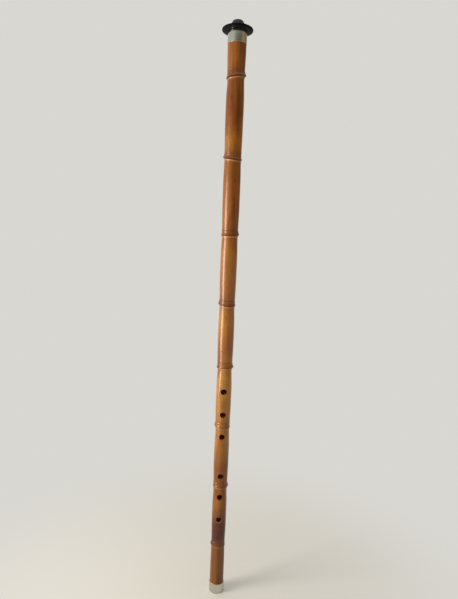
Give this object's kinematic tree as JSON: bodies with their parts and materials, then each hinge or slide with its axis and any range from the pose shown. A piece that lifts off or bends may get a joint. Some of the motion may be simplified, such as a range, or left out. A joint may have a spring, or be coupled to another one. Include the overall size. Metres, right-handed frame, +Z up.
{
  "type": "ney",
  "caption": "Upright end-blown reed flute with ringed nodes, finger holes, plain metal end rings and a brimmed black mouthpiece that pulls out and turns.",
  "frame": {"origin": "centre of the foot's flat end, on the bore's axis", "axes": "+Z up along the bore towards the mouthpiece, finger holes facing -Y, thumb hole facing +Y"},
  "size_m": [0.042, 0.042, 0.8186],
  "materials": {
    "varnished_reed": "toasted giant reed under clear varnish, golden to red-brown",
    "nickel_silver": "polished white metal, lightly dulled",
    "black_horn": "turned and polished, near black",
    "waxed_thread": "waxed cotton, wound close"
  },
  "bodies": {
    "reed": {"reed_body": "varnished_reed", "top_ferrule": "nickel_silver", "bottom_ferrule": "nickel_silver"},
    "lapping": {"tenon_winding": "waxed_thread"},
    "mouthpiece": {"mouthpiece": "black_horn"}
  },
  "joints": [
    {"name": "mouthpiece_slide", "type": "slide", "parent": "reed", "child": "lapping", "axis": [0, 0, 1], "range_m": [0, 0.021]},
    {"name": "mouthpiece_turn", "type": "hinge", "parent": "lapping", "child": "mouthpiece", "pos_m": [0, 0, 0.795], "axis": [0, 0, 1], "continuous": true}
  ]
}
